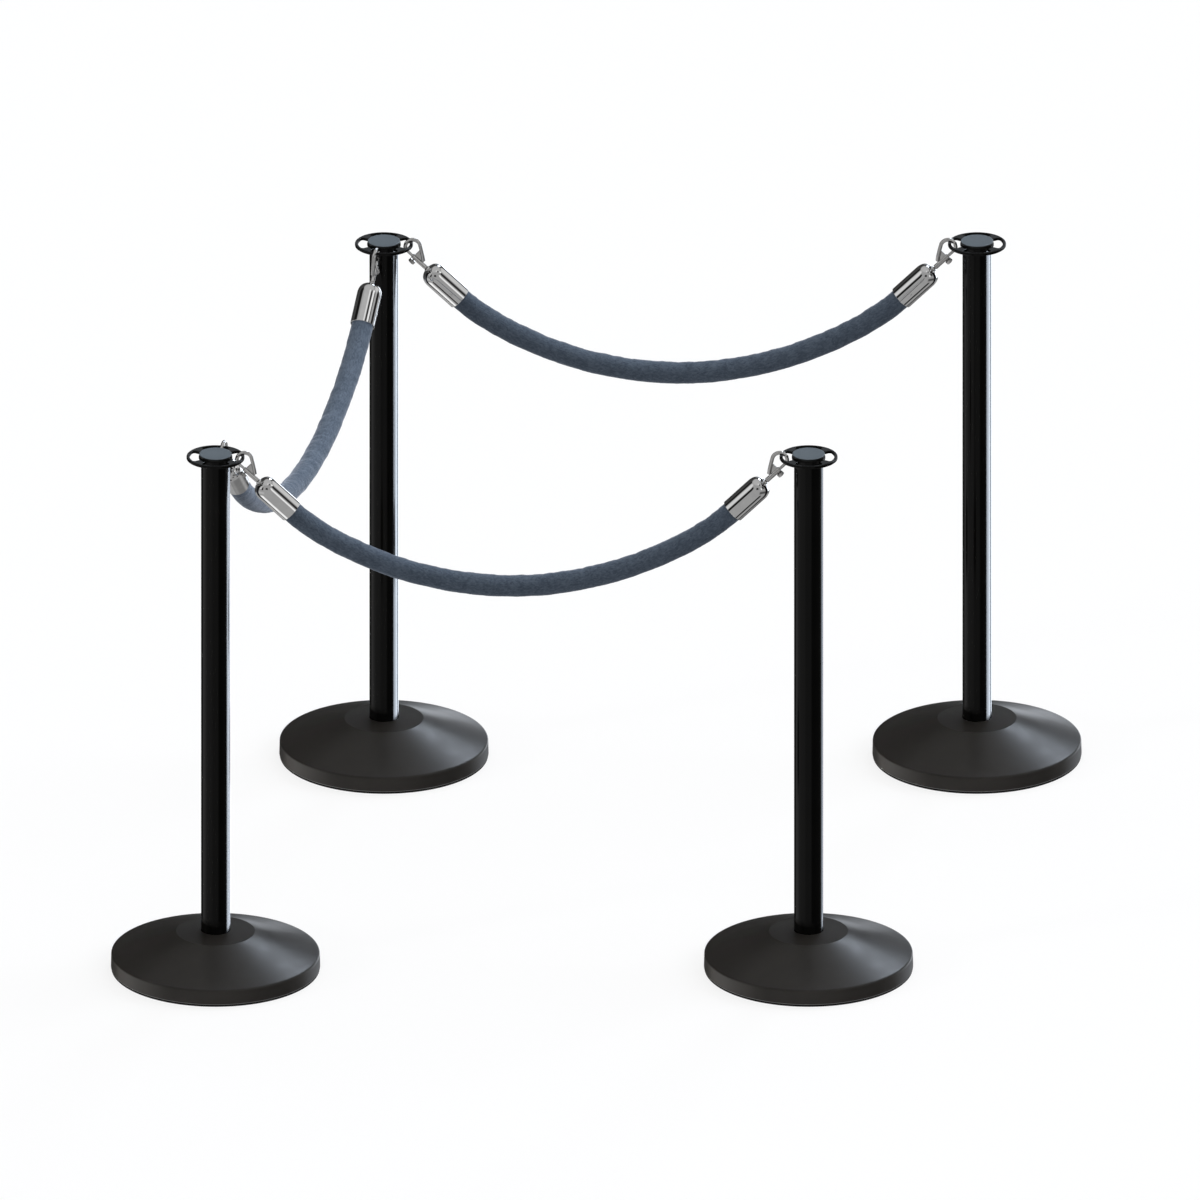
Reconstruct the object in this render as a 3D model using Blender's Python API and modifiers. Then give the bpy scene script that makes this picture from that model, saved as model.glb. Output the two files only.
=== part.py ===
"""Velvet rope barrier: four ring-top posts in a U-shaped run, joined by three hanging velvet ropes.

Metres, +Z up. The origin is on the floor, midway between the four posts, and +X is the way
from the left posts to the right ones. Each rope end carries a bullet-shaped cap, a swivelling
snap hook through a slot of the post's ring, and a sprung thumb latch that closes the hook.
"""

import math

import bmesh
import bpy
from mathutils import Matrix, Vector

GAP = 0.0003  # left between pieces that touch
UP = Vector((0, 0, 1))

# Layout: the same span for the three ropes. The side run leans from +Y towards +X.
SPAN = 1.02
SIDE_LEAN = math.radians(16.5)
ACROSS_RUN = Vector((SPAN, 0, 0))
DEPTH_RUN = Vector((math.sin(SIDE_LEAN), math.cos(SIDE_LEAN), 0)) * SPAN
POSTS = {
    "front_left": (-ACROSS_RUN - DEPTH_RUN) / 2,
    "front_right": (ACROSS_RUN - DEPTH_RUN) / 2,
    "rear_left": (DEPTH_RUN - ACROSS_RUN) / 2,
    "rear_right": (ACROSS_RUN + DEPTH_RUN) / 2,
}
# rope: (end name, post) twice
ROPES = {
    "front_rope": (("left", "front_left"), ("right", "front_right")),
    "side_rope": (("front", "front_left"), ("rear", "rear_left")),
    "rear_rope": (("left", "rear_left"), ("right", "rear_right")),
}

# Base: a rubber pad, an iron weight and a thin domed steel cover
BASE_RADIUS = 0.180
PAD_RADIUS = 0.1792
PAD_HOLE = 0.030
PAD_HEIGHT = 0.0035
RIM_TOP = 0.0285
RIM_ROUND = 0.004
COVER_WALL = 0.002
CREASE_RADIUS = 0.068
CREASE_HEIGHT = 0.069
COVER_TOP = 0.072
COVER_SLOPE = math.radians(18.7)
WEIGHT_RADIUS = 0.168
WEIGHT_TOP = 0.016
BOSS_RADIUS = 0.030
BASE_STEPS = 28

# Post: a tube held down by a long rod from the weight to the ring head
TUBE_RADIUS = 0.025
TUBE_WALL = 0.002
ROD_RADIUS = 0.005
ROD_BORE = 0.0053
ROD_TOP = 0.940
ROD_HEAD_RADIUS = 0.009
ROD_HEAD_BOTTOM = 0.008
ROD_HEAD_HEIGHT = 0.006
TUBE_STEPS = 20

# Ring head: a plate with four slots, and a hub that plugs the tube
RING_RADIUS = 0.050
RING_TOP = 0.950
RING_THICKNESS = 0.005
HUB_RADIUS = 0.0227
HUB_BOTTOM = 0.925
SLOT_INNER = 0.029
SLOT_OUTER = 0.0445
SLOT_HALF_ANGLE = math.radians(33)
SLOTS = 4
TOP_CAP_RADIUS = 0.028
TOP_CAP_HEIGHT = 0.0042
TOP_CAP_PEG = 0.005
TOP_CAP_PEG_BOTTOM = 0.943

# Rope end. Its frame has its origin at the cap's nose, +Z up the cap's axis towards the ring,
# and +X away from the post and up.
HANG = math.radians(44)  # of the cap's axis below level
CAP_LENGTH = 0.080
CAP_RADIUS = 0.0213
CAP_BORE = 0.0198
NOSE_RADIUS = 0.0054
NOSE_LENGTH = 0.0018
NOSE_DEPTH = 0.0087
NOSE_HOLE = 0.0032
DOME_END = 0.024
DOME_POWER = 0.8  # 1 is an ellipse, and less is blunter
CAP_STEPS = 16

# Snap hook, in the rope end's frame
SHANK_RADIUS = 0.0028
RIVET_RADIUS = 0.006
RIVET_TOP = -0.009
RIVET_BOTTOM = -0.012
BARREL_RADIUS = 0.0042
BARREL_START = 0.001
BARREL_END = 0.0335
BORE_RADIUS = 0.0029
BORE_START = 0.006
SLIT_WIDTH = 0.003
SLIT_START = 0.0152
SLIT_END = 0.0290
WIRE_RADIUS = 0.003
EYE_CENTRE = (0.0120, 0.0445)
EYE_RADIUS = 0.0125  # to the middle of the wire
EYE_FROM = 121  # degrees, at the spine
EYE_TO = -60  # at the tip, past the far side
EYE_PARTS = 11
SPINE = [(0.0060, 0.0130), (0.0115, 0.0200), (0.0175, 0.0290)]
WEB_HALF = 0.0015
WEB = [(0.0036, 0.0100), (0.0036, 0.0315), (0.0185, 0.0315), (0.0115, 0.0200), (0.0055, 0.0120)]

# Where the ring's band stands in the hook's eye: against the far side, clear of the wire
BAND_RADIUS = (RING_RADIUS + SLOT_OUTER) / 2
BAND_HEIGHT = RING_TOP - RING_THICKNESS / 2
BEARING = math.radians(20)
BEARING_OFFSET = 0.0053
BAND_X = EYE_CENTRE[0] + BEARING_OFFSET * math.sin(BEARING)
BAND_Z = EYE_CENTRE[1] + BEARING_OFFSET * math.cos(BEARING)

# Latch and its spring, in the rope end's frame
LATCH_RADIUS = 0.0025
LATCH_START = 0.021
LATCH_END = 0.0486
THUMB_Z = 0.027
STEM_RADIUS = 0.0013
THUMB_RADIUS = 0.006
THUMB_NEAR = -0.0052
THUMB_FAR = -0.0110
SPRING_RADIUS = 0.00205
SPRING_WIRE = 0.00042
SPRING_TURNS = 3.5
SPRING_POINTS = 18

# Rope: a velvet sleeve over a soft core, ending inside the caps
ROPE_RADIUS = 0.019
SLEEVE_WALL = 0.002
CORE_RADIUS = 0.0155
ROPE_INSET = 0.030  # of its end below the cap's nose
ROPE_LOWEST = 0.709
SAG_SCALE = 0.573  # the catenary's own length
ROPE_POINTS = 13  # between the two mouths, counting them


def arc(centre, radius, start, end, parts):
    """Points round a centre, by angle in degrees from the second axis towards the first. In a
    rope end's frame these are +Z and +X."""
    angles = [math.radians(start + (end - start) * i / parts) for i in range(parts + 1)]
    return [(centre[0] + radius * math.sin(a), centre[1] + radius * math.cos(a)) for a in angles]


def clear_scene():
    for obj in list(bpy.data.objects):
        bpy.data.objects.remove(obj, do_unlink=True)


def new_collection(name):
    collection = bpy.data.collections.new(name)
    bpy.context.scene.collection.children.link(collection)
    return collection


def principled(name, colour, roughness, metallic):
    material = bpy.data.materials.new(name)
    material.use_nodes = True
    shader = material.node_tree.nodes["Principled BSDF"]
    shader.inputs["Base Color"].default_value = (*colour, 1)
    shader.inputs["Roughness"].default_value = roughness
    shader.inputs["Metallic"].default_value = metallic
    return material


def helper(name, data, matrix=None):
    """A shape that only helps to make others: in the cutters' collection, and not rendered."""
    obj = bpy.data.objects.new(name, data)
    obj.hide_render = True
    obj.display_type = "WIRE"
    if matrix is not None:
        obj.matrix_world = matrix
    cutters.objects.link(obj)
    return obj


def finished_mesh(obj, sharp=30):
    """The mesh of a helper after its modifiers, welded, in world space and smooth except at sharp edges."""
    bpy.context.view_layer.update()
    graph = bpy.context.evaluated_depsgraph_get()
    mesh = bpy.data.meshes.new_from_object(obj.evaluated_get(graph))
    mesh.transform(obj.matrix_world)
    work = bmesh.new()
    work.from_mesh(mesh)
    bmesh.ops.remove_doubles(work, verts=work.verts, dist=1e-6)
    bmesh.ops.recalc_face_normals(work, faces=work.faces)
    work.to_mesh(mesh)
    work.free()
    mesh.name = obj.name
    mesh.shade_smooth()
    mesh.set_sharp_from_angle(angle=math.radians(sharp))
    return mesh


def turned(name, profile, steps, closed=True, matrix=None):
    """A profile of (radius, height) points turned about Z. It runs down its outer side."""
    outline = bpy.data.meshes.new(name + "_profile")
    points = [(radius, 0, height) for radius, height in profile]
    edges = [(i, i + 1) for i in range(len(points) - 1)]
    if closed:
        edges.append((len(points) - 1, 0))
    outline.from_pydata(points, edges, [])
    obj = helper(name, outline, matrix)
    screw = obj.modifiers.new("turn", "SCREW")
    screw.axis = "Z"
    screw.steps = steps
    screw.render_steps = steps
    screw.use_merge_vertices = True
    screw.merge_threshold = 1e-5
    return finished_mesh(obj)


def poly_curve(name, points, radius, sides_step, caps=True):
    """A round bar or tube along the points."""
    curve = bpy.data.curves.new(name, "CURVE")
    curve.dimensions = "3D"
    curve.bevel_depth = radius
    curve.bevel_resolution = sides_step
    curve.use_fill_caps = caps
    spline = curve.splines.new("POLY")
    spline.points.add(len(points) - 1)
    for target, point in zip(spline.points, points):
        target.co = (*point, 1)
    return curve


def plate(name, outlines, half_thickness, matrix):
    """Flat outlines in the XY plane, filled and thickened both ways."""
    curve = bpy.data.curves.new(name, "CURVE")
    curve.dimensions = "2D"
    curve.fill_mode = "BOTH"
    curve.extrude = half_thickness
    for outline in outlines:
        spline = curve.splines.new("POLY")
        spline.points.add(len(outline) - 1)
        for target, (x, y) in zip(spline.points, outline):
            target.co = (x, y, 0, 1)
        spline.use_cyclic_u = True
    return finished_mesh(helper(name, curve, matrix))


def combined(name, base, steps):
    """The base mesh after a Boolean for each (operation, mesh) in steps."""
    obj = helper(name, base)
    for operation, mesh in steps:
        modifier = obj.modifiers.new(operation.lower(), "BOOLEAN")
        modifier.operation = operation
        modifier.solver = "EXACT"
        modifier.object = helper(f"{name}_{mesh.name}", mesh)
    return finished_mesh(obj)


def place(name, data, material, location=None, frame=None):
    """One piece of the barrier: a node."""
    obj = bpy.data.objects.new(name, data)
    if not data.materials:
        data.materials.append(material)
    if location is not None:
        obj.location = location
    if frame is not None:
        obj.parent = frame
    barrier.objects.link(obj)
    return obj


# Post pieces


def cover_profile():
    """The domed cover: a flat top, a cone and an upright rim, as a thin shell."""
    rim_outer = BASE_RADIUS
    rim_inner = BASE_RADIUS - COVER_WALL
    cone_drop = math.tan(COVER_SLOPE)
    shoulder = rim_outer - RIM_ROUND
    shoulder_height = CREASE_HEIGHT - (shoulder - CREASE_RADIUS) * cone_drop
    hole = TUBE_RADIUS + GAP * 2
    bottom = PAD_HEIGHT + GAP
    outside = [
        (hole, COVER_TOP),
        (CREASE_RADIUS, CREASE_HEIGHT),
        (shoulder, shoulder_height),
        (rim_outer - RIM_ROUND * 0.3, shoulder_height - RIM_ROUND * 0.45),
        (rim_outer, RIM_TOP),
        (rim_outer, bottom),
    ]
    inside = [
        (rim_inner, bottom),
        (rim_inner, RIM_TOP - COVER_WALL * 0.3),
        (shoulder - COVER_WALL * 0.5, shoulder_height - COVER_WALL),
        (CREASE_RADIUS, CREASE_HEIGHT - COVER_WALL),
        (hole, COVER_TOP - COVER_WALL),
    ]
    return outside + inside


def boss_top():
    """The weight's boss carries the cover's underside."""
    fall = (COVER_TOP - CREASE_HEIGHT) / (CREASE_RADIUS - TUBE_RADIUS)
    return COVER_TOP - COVER_WALL - fall * (BOSS_RADIUS - TUBE_RADIUS) - GAP


def weight_profile():
    bottom = PAD_HEIGHT + GAP
    counterbore = ROD_HEAD_RADIUS + GAP * 2
    counterbore_top = ROD_HEAD_BOTTOM + ROD_HEAD_HEIGHT + GAP
    return [
        (ROD_BORE, boss_top()),
        (BOSS_RADIUS, boss_top()),
        (BOSS_RADIUS, WEIGHT_TOP),
        (WEIGHT_RADIUS, WEIGHT_TOP),
        (WEIGHT_RADIUS, bottom),
        (counterbore, bottom),
        (counterbore, counterbore_top),
        (ROD_BORE, counterbore_top),
    ]


def tube_profile():
    bottom = boss_top() + GAP
    top = RING_TOP - RING_THICKNESS - GAP
    inner = TUBE_RADIUS - TUBE_WALL
    return [(inner, top), (TUBE_RADIUS, top), (TUBE_RADIUS, bottom), (inner, bottom)]


def rod_profile():
    head_top = ROD_HEAD_BOTTOM + ROD_HEAD_HEIGHT
    return [
        (0, ROD_TOP),
        (ROD_RADIUS, ROD_TOP),
        (ROD_RADIUS, head_top),
        (ROD_HEAD_RADIUS, head_top),
        (ROD_HEAD_RADIUS, ROD_HEAD_BOTTOM),
        (0, ROD_HEAD_BOTTOM),
    ]


def top_cap_profile():
    bottom = RING_TOP + GAP
    top = bottom + TOP_CAP_HEIGHT
    edge = 0.0008
    return [
        (0, top),
        (TOP_CAP_RADIUS - edge, top),
        (TOP_CAP_RADIUS, top - edge),
        (TOP_CAP_RADIUS, bottom),
        (TOP_CAP_PEG, bottom),
        (TOP_CAP_PEG, TOP_CAP_PEG_BOTTOM),
        (0, TOP_CAP_PEG_BOTTOM),
    ]


def ring_head_mesh():
    plate_bottom = RING_TOP - RING_THICKNESS
    profile = [
        (ROD_BORE, RING_TOP),
        (RING_RADIUS, RING_TOP),
        (RING_RADIUS, plate_bottom),
        (HUB_RADIUS, plate_bottom),
        (HUB_RADIUS, HUB_BOTTOM),
        (ROD_BORE, HUB_BOTTOM),
    ]
    half = math.degrees(SLOT_HALF_ANGLE)
    outlines = []
    for slot in range(SLOTS):
        middle = 90 + 360 * slot / SLOTS
        outer = arc((0, 0), SLOT_OUTER, middle - half, middle + half, 6)
        inner = arc((0, 0), SLOT_INNER, middle + half, middle - half, 4)
        outlines.append(outer + inner)
    middle_height = Matrix.Translation(UP * (RING_TOP - RING_THICKNESS / 2))
    slots = plate("slots", outlines, RING_THICKNESS, middle_height)
    disc = turned("ring_blank", profile, 32)
    return combined("ring_head", disc, [("DIFFERENCE", slots)])


# Rope end pieces, in the rope end's frame


def end_cap_profile():
    """A bullet-shaped shell: a short nose with a hole, a dome and a straight skirt."""
    dome_length = DOME_END - NOSE_LENGTH
    inner_dome_end = DOME_END + 0.001
    inner_dome_length = inner_dome_end - NOSE_DEPTH
    outside = [(NOSE_HOLE, 0), (NOSE_RADIUS, 0), (NOSE_RADIUS, -NOSE_LENGTH)]
    for degrees in (25, 50, 72, 90):
        a = math.radians(degrees)
        drop = dome_length * (1 - max(0, math.cos(a)) ** DOME_POWER)
        outside.append((CAP_RADIUS * math.sin(a) ** DOME_POWER, -NOSE_LENGTH - drop))
    outside.append((CAP_RADIUS, -CAP_LENGTH))
    inside = [(CAP_BORE, -CAP_LENGTH)]
    for degrees in (90, 70, 47):
        a = math.radians(degrees)
        inside.append((CAP_BORE * math.sin(a), -NOSE_DEPTH - inner_dome_length * (1 - math.cos(a))))
    inside += [(RIVET_RADIUS, -NOSE_DEPTH), (NOSE_HOLE, -NOSE_DEPTH)]
    return outside + inside


def in_hook_plane():
    """Turns a plate drawn with x, y into one with x along the frame's +X and y along its +Z."""
    return Matrix.Rotation(math.radians(90), 4, "X")


def hook_mesh():
    """Rivet, shank and barrel turned as one, joined by a web to the bent wire of the eye."""
    body = turned(
        "barrel",
        [
            (0, BARREL_END),
            (BARREL_RADIUS, BARREL_END),
            (BARREL_RADIUS, BARREL_START + 0.0008),
            (SHANK_RADIUS, BARREL_START),
            (SHANK_RADIUS, RIVET_TOP),
            (RIVET_RADIUS, RIVET_TOP),
            (RIVET_RADIUS, RIVET_BOTTOM),
            (0, RIVET_BOTTOM),
        ],
        10,
        closed=False,
    )
    eye = arc(EYE_CENTRE, EYE_RADIUS, EYE_FROM, EYE_TO, EYE_PARTS)
    wire_points = [(x, 0, z) for x, z in SPINE + eye]
    wire = finished_mesh(helper("wire", poly_curve("wire", wire_points, WIRE_RADIUS, 2)))
    web = plate("web", [WEB], WEB_HALF, in_hook_plane())
    bore = turned(
        "bore",
        [
            (0, BARREL_END + 0.002),
            (BORE_RADIUS, BARREL_END + 0.002),
            (BORE_RADIUS, BORE_START),
            (0, BORE_START),
        ],
        10,
        closed=False,
    )
    slit_outline = [
        (-2 * BARREL_RADIUS, SLIT_START),
        (0, SLIT_START),
        (0, SLIT_END),
        (-2 * BARREL_RADIUS, SLIT_END),
    ]
    slit = plate("slit", [slit_outline], SLIT_WIDTH / 2, in_hook_plane())
    steps = [("UNION", web), ("UNION", wire), ("DIFFERENCE", bore), ("DIFFERENCE", slit)]
    return combined("hook", body, steps)


def latch_mesh():
    """The bolt that slides in the barrel, with its thumb button on a stem through the slit."""
    bolt = turned(
        "bolt",
        [
            (0, LATCH_END),
            (LATCH_RADIUS - 0.0006, LATCH_END),
            (LATCH_RADIUS, LATCH_END - 0.0006),
            (LATCH_RADIUS, LATCH_START),
            (0, LATCH_START),
        ],
        10,
        closed=False,
    )
    sideways = Matrix.Translation(UP * THUMB_Z) @ Matrix.Rotation(math.radians(-90), 4, "Y")
    edge = 0.001
    button = turned(
        "button",
        [
            (0, -THUMB_FAR),
            (THUMB_RADIUS - edge, -THUMB_FAR),
            (THUMB_RADIUS, -THUMB_FAR - edge),
            (THUMB_RADIUS, -THUMB_NEAR),
            (STEM_RADIUS, -THUMB_NEAR),
            (STEM_RADIUS, 0.001),
            (0, 0.001),
        ],
        8,
        closed=False,
        matrix=sideways,
    )
    return combined("latch", bolt, [("UNION", button)])


def spring_mesh():
    low = BORE_START + GAP + SPRING_WIRE
    high = LATCH_START - GAP - SPRING_WIRE
    points = []
    for i in range(SPRING_POINTS + 1):
        share = i / SPRING_POINTS
        a = 2 * math.pi * SPRING_TURNS * share
        height = low + (high - low) * share
        points.append((SPRING_RADIUS * math.cos(a), SPRING_RADIUS * math.sin(a), height))
    return finished_mesh(helper("spring", poly_curve("spring", points, SPRING_WIRE, 1)))


# Where the ropes hang


def end_matrix(post, outward):
    """The rope end's frame at a post, for a rope that leaves it along outward."""
    axis = UP * math.sin(HANG) - outward * math.cos(HANG)
    across = UP * math.cos(HANG) + outward * math.sin(HANG)
    band = post + outward * BAND_RADIUS + UP * BAND_HEIGHT
    matrix = Matrix((across, axis.cross(across), axis)).transposed().to_4x4()
    matrix.translation = band - axis * BAND_Z - across * BAND_X
    return matrix


def evenly(points, count):
    """Points at equal distances along a finely divided line."""
    lengths = [0.0]
    for a, b in zip(points, points[1:]):
        lengths.append(lengths[-1] + (b - a).length)
    spaced = []
    place_in_line = 0
    for i in range(count):
        target = lengths[-1] * i / (count - 1)
        while place_in_line < len(points) - 2 and lengths[place_in_line + 1] < target:
            place_in_line += 1
        step = lengths[place_in_line + 1] - lengths[place_in_line]
        share = (target - lengths[place_in_line]) / step
        spaced.append(points[place_in_line].lerp(points[place_in_line + 1], share))
    return spaced


def rope_route(first, second):
    """The rope's middle line between two end frames: straight in each cap, and a catenary
    between the mouths that steepens near them to meet the caps' slope."""
    mouth_a = first @ Vector((0, 0, -CAP_LENGTH))
    mouth_b = second @ Vector((0, 0, -CAP_LENGTH))
    middle = (mouth_a + mouth_b) / 2
    outward = (mouth_b - mouth_a).normalized()
    reach = (mouth_b - mouth_a).length / 2
    catenary = SAG_SCALE * (math.cosh(reach / SAG_SCALE) - 1)
    lift = mouth_a.z - ROPE_LOWEST - catenary
    power = (math.tan(HANG) - math.sinh(reach / SAG_SCALE)) * reach / lift
    fine = []
    divisions = 400
    for i in range(divisions + 1):
        x = reach * (2 * i / divisions - 1)
        height = SAG_SCALE * (math.cosh(x / SAG_SCALE) - 1) + lift * (abs(x) / reach) ** power
        point = middle + outward * x
        point.z = ROPE_LOWEST + height
        fine.append(point)
    end_a = first @ Vector((0, 0, -ROPE_INSET))
    end_b = second @ Vector((0, 0, -ROPE_INSET))
    return [end_a] + evenly(fine, ROPE_POINTS) + [end_b]


# The object


def build_posts():
    black = principled("black_gloss_paint", (0.008, 0.008, 0.010), 0.18, 0.0)
    charcoal = principled("charcoal_satin_paint", (0.020, 0.022, 0.026), 0.38, 0.0)
    pieces = {
        "floor_pad": (
            turned(
                "floor_pad",
                [(PAD_HOLE, PAD_HEIGHT), (PAD_RADIUS, PAD_HEIGHT), (PAD_RADIUS, 0), (PAD_HOLE, 0)],
                BASE_STEPS,
            ),
            principled("black_rubber", (0.015, 0.015, 0.015), 0.8, 0.0),
        ),
        "base_weight": (
            turned("base_weight", weight_profile(), 24),
            principled("cast_iron", (0.05, 0.05, 0.05), 0.7, 0.8),
        ),
        "base_cover": (turned("base_cover", cover_profile(), BASE_STEPS), charcoal),
        "post_tube": (turned("post_tube", tube_profile(), TUBE_STEPS), black),
        "tie_rod": (
            turned("tie_rod", rod_profile(), 8, closed=False),
            principled("zinc_steel", (0.55, 0.55, 0.55), 0.4, 1.0),
        ),
        "ring_head": (ring_head_mesh(), black),
        "top_cap": (
            turned("top_cap", top_cap_profile(), TUBE_STEPS, closed=False),
            principled("black_cap", (0.030, 0.034, 0.040), 0.3, 0.0),
        ),
    }
    for post, location in POSTS.items():
        for piece, (mesh, material) in pieces.items():
            place(f"{post}_{piece}", mesh, material, location=location)


def build_ropes():
    chrome = principled("polished_chrome", (0.80, 0.80, 0.80), 0.08, 1.0)
    pieces = {
        "end_cap": (turned("end_cap", end_cap_profile(), CAP_STEPS), chrome),
        "hook": (hook_mesh(), chrome),
        "latch": (latch_mesh(), chrome),
        "spring": (spring_mesh(), principled("spring_steel", (0.5, 0.5, 0.5), 0.35, 1.0)),
    }
    velvet = principled("grey_velvet", (0.095, 0.115, 0.145), 0.9, 0.0)
    wadding = principled("cotton_wadding", (0.75, 0.72, 0.66), 0.95, 0.0)
    for rope, ends in ROPES.items():
        frames = []
        for (end, post), (_, other) in zip(ends, reversed(ends)):
            outward = (POSTS[other] - POSTS[post]).normalized()
            frame = bpy.data.objects.new(f"{rope}_{end}_frame", None)
            frame.empty_display_size = 0.02
            frame.matrix_world = end_matrix(POSTS[post], outward)
            barrier.objects.link(frame)
            frames.append(frame.matrix_world.copy())
            for piece, (mesh, material) in pieces.items():
                place(f"{rope}_{end}_{piece}", mesh, material, frame=frame)
        route = rope_route(*frames)
        sleeve_line = poly_curve(f"{rope}_sleeve_line", route, ROPE_RADIUS, 3, caps=False)
        sleeve = place(f"{rope}_velvet_sleeve", sleeve_line, velvet)
        shell = sleeve.modifiers.new("wall", "SOLIDIFY")
        shell.thickness = SLEEVE_WALL
        shell.offset = -1
        core_line = poly_curve(f"{rope}_core_line", route, CORE_RADIUS, 2)
        place(f"{rope}_core", core_line, wadding)


clear_scene()
barrier = new_collection("velvet_rope_barrier")
cutters = new_collection("cutters")
build_posts()
build_ropes()
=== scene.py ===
"""Looks of the velvet rope barrier: four ring-top posts and three velvet ropes with snap hooks.

Every CAD node is remade here as a fine mesh in its own place. Metres, +Z up.
"""

import math

import bmesh
import bpy
import numpy as np
from mathutils import Matrix, Vector, noise


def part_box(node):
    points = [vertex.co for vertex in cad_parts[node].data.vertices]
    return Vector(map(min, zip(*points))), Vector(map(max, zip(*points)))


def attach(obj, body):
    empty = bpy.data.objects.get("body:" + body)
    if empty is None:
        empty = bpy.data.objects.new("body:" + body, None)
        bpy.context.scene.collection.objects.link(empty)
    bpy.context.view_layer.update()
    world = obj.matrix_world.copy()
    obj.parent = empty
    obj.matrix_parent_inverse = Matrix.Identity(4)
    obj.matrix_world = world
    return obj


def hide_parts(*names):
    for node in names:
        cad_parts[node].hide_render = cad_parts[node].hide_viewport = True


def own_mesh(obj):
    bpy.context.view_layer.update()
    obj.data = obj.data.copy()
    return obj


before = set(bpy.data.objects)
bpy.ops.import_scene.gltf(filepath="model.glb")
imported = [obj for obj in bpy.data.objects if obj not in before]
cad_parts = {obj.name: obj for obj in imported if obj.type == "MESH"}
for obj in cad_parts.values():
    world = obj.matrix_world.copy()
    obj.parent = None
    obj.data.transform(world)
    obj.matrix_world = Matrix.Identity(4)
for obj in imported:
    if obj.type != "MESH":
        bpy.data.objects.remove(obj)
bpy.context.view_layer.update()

UP = Vector((0, 0, 1))
POST_NAMES = ("front_left", "front_right", "rear_left", "rear_right")
# rope: (end name, post) twice, and the side of the rope that its cap screws face, +1 or -1
ROPES = {
    "front_rope": (("left", "front_left"), ("right", "front_right"), 1),
    "side_rope": (("front", "front_left"), ("rear", "rear_left"), -1),
    "rear_rope": (("left", "rear_left"), ("right", "rear_right"), -1),
}

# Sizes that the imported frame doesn't state by itself, as in the CAD
GAP = 0.0003
CUT_PAST = 0.001  # how far a cutter stands out of what it cuts
COVER_WALL = 0.002
CREASE_RADIUS = 0.068
CREASE_HEIGHT = 0.069
COVER_SLOPE = math.radians(18.7)
PAD_HOLE = 0.030
BOSS_RADIUS = 0.030
WEIGHT_TOP = 0.016
ROD_RADIUS = 0.005
ROD_BORE = 0.0053
ROD_HEAD_RADIUS = 0.009
ROD_HEAD_HEIGHT = 0.006
TUBE_WALL = 0.002
RING_THICKNESS = 0.005
HUB_RADIUS = 0.0227
SLOT_INNER = 0.029
SLOT_OUTER = 0.0445
SLOT_HALF_ANGLE = math.radians(33)
SLOT_CORNER = 0.0035
SLOTS = 4
TOP_CAP_HEIGHT = 0.0042
TOP_CAP_PEG = 0.005

# Rope end, in its own frame: origin at the cap's nose, +Z up the cap's axis, +X away from the post
HANG = math.radians(44)
CAP_LENGTH = 0.080
CAP_RADIUS = 0.0213
CAP_BORE = 0.0198
NOSE_RADIUS = 0.0054
NOSE_LENGTH = 0.0018
NOSE_DEPTH = 0.0087
NOSE_HOLE = 0.0032
DOME_END = 0.024
DOME_POWER = 0.8  # 1 is an ellipse, and less is blunter
SCREW_Z = -0.058
SCREW_RADIUS = 0.0026
SCREW_SINK = 0.00005
SCREW_TURN = math.radians(25)
SHANK_RADIUS = 0.0028
RIVET_RADIUS = 0.006
RIVET_TOP = -0.009
RIVET_BOTTOM = -0.012
BARREL_RADIUS = 0.0042
BARREL_START = 0.001
BARREL_END = 0.0335
BORE_RADIUS = 0.0029
BORE_START = 0.006
SLIT_WIDTH = 0.003
SLIT_START = 0.0152
SLIT_END = 0.0290
WIRE_RADIUS = 0.0034  # the wire is a little thicker than the CAD's, on the same inner edge
EYE_CENTRE = (0.0120, 0.0445)
EYE_RADIUS = 0.0129
EYE_FROM = 121  # degrees
EYE_TO = -60
SPINE = [(0.0060, 0.0130), (0.0115, 0.0200), (0.0175, 0.0290)]
WEB_HALF = 0.0015
WEB = [
    (0.0030, 0.0095),
    (0.0030, 0.0315),
    (0.0185, 0.0315),
    (0.0115, 0.0200),
    (0.0055, 0.0120),
]
BEARING = math.radians(20)  # where on its eye the hook hangs, off its axis
BEARING_OFFSET = 0.0053  # from the eye's centre to the middle of the ring's band
LATCH_RADIUS = 0.0025
LATCH_START = 0.021
LATCH_END = 0.0486
THUMB_Z = 0.027
STEM_RADIUS = 0.0013
THUMB_RADIUS = 0.0060
THUMB_NEAR = -0.0052
THUMB_FAR = -0.0110
THUMB_RIBS = 20
SPRING_RADIUS = 0.00205
SPRING_WIRE = 0.00042
SPRING_TURNS = 3.5

# Rope
ROPE_RADIUS = 0.019
CORE_RADIUS = 0.0155
ROPE_INSET = 0.030
ROPE_LOWEST = 0.709
SAG_SCALE = 0.573
ROPE_STEP = 0.0016  # between the velvet's rings
ROPE_SIDES = 72
CORE_STEP = 0.005
CORE_SIDES = 36
STRAND_LAY = 0.11  # length of a strand's turn
FOLD_SKEW = 0.25  # how far the folds lean along the rope as they go round it
# The velvet's relief: waves per metre along and round the rope, depth, and further depth on top
FOLDS = (62, 16, 0.00030, 0.00085)
RIPPLES = (150, 48, 0.00018, 0.00030)
LUMP_SCALE = 34
LUMP_DEPTH = 0.00060
DENT_SCALE = 210
DENT_DEPTH = 0.00022
SMOOTH_REACH = 0.02  # the relief fades out over this length before a cap
VELVET_EASE = 0.0003  # the velvet's middle surface is this much inside the rope's radius

# Camera, at the photograph's angle. The photograph shows near and far posts at one size.
CAMERA_DISTANCE = 6.0
CAMERA_ELEVATION = math.radians(22)
VIEW_WIDTH = 2.064
VIEW_CENTRE = Vector((0.0064, 0, 0.485))


# Mesh helpers


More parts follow.
